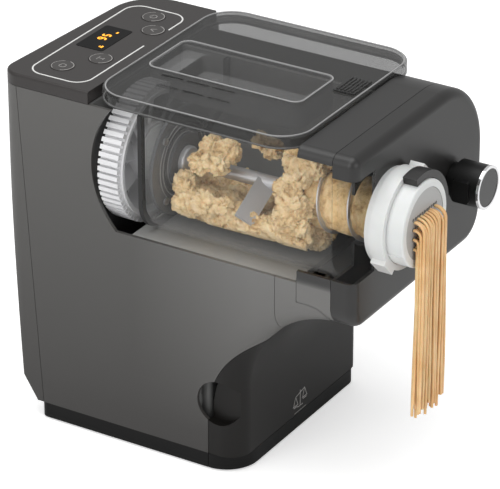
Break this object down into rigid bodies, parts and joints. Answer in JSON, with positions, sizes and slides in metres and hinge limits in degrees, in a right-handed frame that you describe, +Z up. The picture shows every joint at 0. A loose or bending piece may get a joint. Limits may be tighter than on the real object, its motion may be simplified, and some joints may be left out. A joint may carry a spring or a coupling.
{
  "type": "electric pasta maker",
  "caption": "Countertop electric pasta maker with clear mixing chamber, smoked lid, exposed drive wheel, front panel with knob, white nozzle and storage drawer.",
  "frame": {"origin": "middle of the whole outline at table level", "axes": "+Z up, -Y towards the nozzle side, +X to the right when facing the front"},
  "size_m": [0.208, 0.3601, 0.3054],
  "materials": {
    "graphite_side": "satin",
    "graphite_panel": "satin",
    "brown_cover": "satin",
    "near_black": "matte",
    "dark_inner": "matte",
    "rubber": "matte",
    "steel": "brushed",
    "satin_wheel": "satin",
    "smoked_clear": "smoked",
    "clear": "clear",
    "grey_plastic": "satin",
    "white_plastic": "satin",
    "disc_grey": "satin",
    "chrome": "polished",
    "line_white": "satin",
    "display_black": "gloss",
    "board_green": "matte",
    "motor_steel": "satin",
    "brass": "satin",
    "dough": "matte",
    "pasta": "satin"
  },
  "bodies": {
    "housing": {"base_plate": "near_black", "feet": "rubber", "load_cells": "steel", "fasteners": "steel", "side_panel_left": "graphite_side", "side_panel_right": "graphite_side", "rear_shell": "graphite_side", "cord_gland": "rubber", "top_cover": "brown_cover", "panel_outline": "line_white", "display_window": "display_black", "control_board": "board_green", "bulkhead": "dark_inner", "wheel_bearing": "steel", "motor": "motor_steel", "power_board": "board_green", "chamber_cradle": "dark_inner", "pedestal_frame": "dark_inner", "drawer_rails": "dark_inner", "arm_shell": "graphite_panel", "neck_cover": "graphite_panel", "knob_nut": "brass", "lid_switch": "near_black"},
    "drive": {"drive_wheel": "satin_wheel", "hub_cap": "white_plastic", "output_shaft": "steel"},
    "rotor": {"motor_rotor": "steel", "motor_pinion": "brass", "motor_fan": "near_black"},
    "drawer": {"drawer_front": "graphite_panel", "drawer_plinth": "near_black", "drawer_tray": "dark_inner", "spare_discs": "white_plastic"},
    "chamber": {"chamber_tub": "clear", "back_plate": "grey_plastic", "chamber_gasket": "dark_inner", "shaft_bush": "grey_plastic", "back_screws": "steel", "front_frame": "graphite_panel"},
    "paddle": {"paddle_shaft": "steel", "auger": "steel", "dough": "dough"},
    "front_panel": {"extrusion_barrel": "clear", "panel_shell": "graphite_panel", "panel_window": "smoked_clear", "nozzle_flange": "white_plastic", "nozzle_hood": "near_black"},
    "nut": {"nozzle_nut": "white_plastic"},
    "disc": {"shaping_disc": "disc_grey", "pasta_strands": "pasta"},
    "knob": {"knob_body": "near_black", "knob_ring": "chrome", "knob_screw": "steel"},
    "lid": {"lid_frame": "smoked_clear", "lid_well": "clear", "lid_latch": "smoked_clear"},
    "power_key": {"key_power": "brown_cover"},
    "weigh_key": {"key_weigh": "brown_cover"},
    "start_key": {"key_start": "brown_cover"},
    "program_key": {"key_program": "brown_cover"}
  },
  "joints": [
    {"name": "wheel_spin", "type": "hinge", "parent": "housing", "child": "drive", "pos_m": [-0.048, 0.08, 0.236], "axis": [0, -1, 0], "continuous": true},
    {"name": "rotor_spin", "type": "hinge", "parent": "housing", "child": "rotor", "pos_m": [-0.00493, 0.12, 0.18468], "axis": [0, -1, 0], "continuous": true},
    {"name": "drawer_slide", "type": "slide", "parent": "housing", "child": "drawer", "axis": [0, -1, 0], "range_m": [0, 0.09]},
    {"name": "chamber_slide", "type": "slide", "parent": "housing", "child": "chamber", "axis": [0, -1, 0], "range_m": [0, 0.2]},
    {"name": "paddle_spin", "type": "hinge", "parent": "chamber", "child": "paddle", "pos_m": [-0.048, 0, 0.236], "axis": [0, -1, 0], "continuous": true},
    {"name": "lid_lift", "type": "slide", "parent": "chamber", "child": "lid", "axis": [0, 0, 1], "range_m": [0, 0.1]},
    {"name": "panel_slide", "type": "slide", "parent": "chamber", "child": "front_panel", "axis": [0, -1, 0], "range_m": [0, 0.08]},
    {"name": "knob_turn", "type": "hinge", "parent": "front_panel", "child": "knob", "pos_m": [0.0547, -0.15, 0.2227], "axis": [0, -1, 0], "range_deg": [0, 90]},
    {"name": "disc_slide", "type": "slide", "parent": "front_panel", "child": "disc", "axis": [0, -1, 0], "range_m": [0, 0.06]},
    {"name": "nut_turn", "type": "hinge", "parent": "disc", "child": "nut", "pos_m": [-0.048, -0.16, 0.236], "axis": [0, -1, 0], "range_deg": [0, 45]},
    {"name": "power_press", "type": "slide", "parent": "housing", "child": "power_key", "axis": [0, 0, -1], "range_m": [0, 0.001], "stiffness_N_per_m": 400},
    {"name": "weigh_press", "type": "slide", "parent": "housing", "child": "weigh_key", "axis": [0, 0, -1], "range_m": [0, 0.001], "stiffness_N_per_m": 400},
    {"name": "start_press", "type": "slide", "parent": "housing", "child": "start_key", "axis": [0, 0, -1], "range_m": [0, 0.001], "stiffness_N_per_m": 400},
    {"name": "program_press", "type": "slide", "parent": "housing", "child": "program_key", "axis": [0, 0, -1], "range_m": [0, 0.001], "stiffness_N_per_m": 400}
  ],
  "couplings": [
    {"joint": "rotor_spin", "follows": "wheel_spin", "ratio": -5},
    {"joint": "paddle_spin", "follows": "wheel_spin", "ratio": 1}
  ]
}
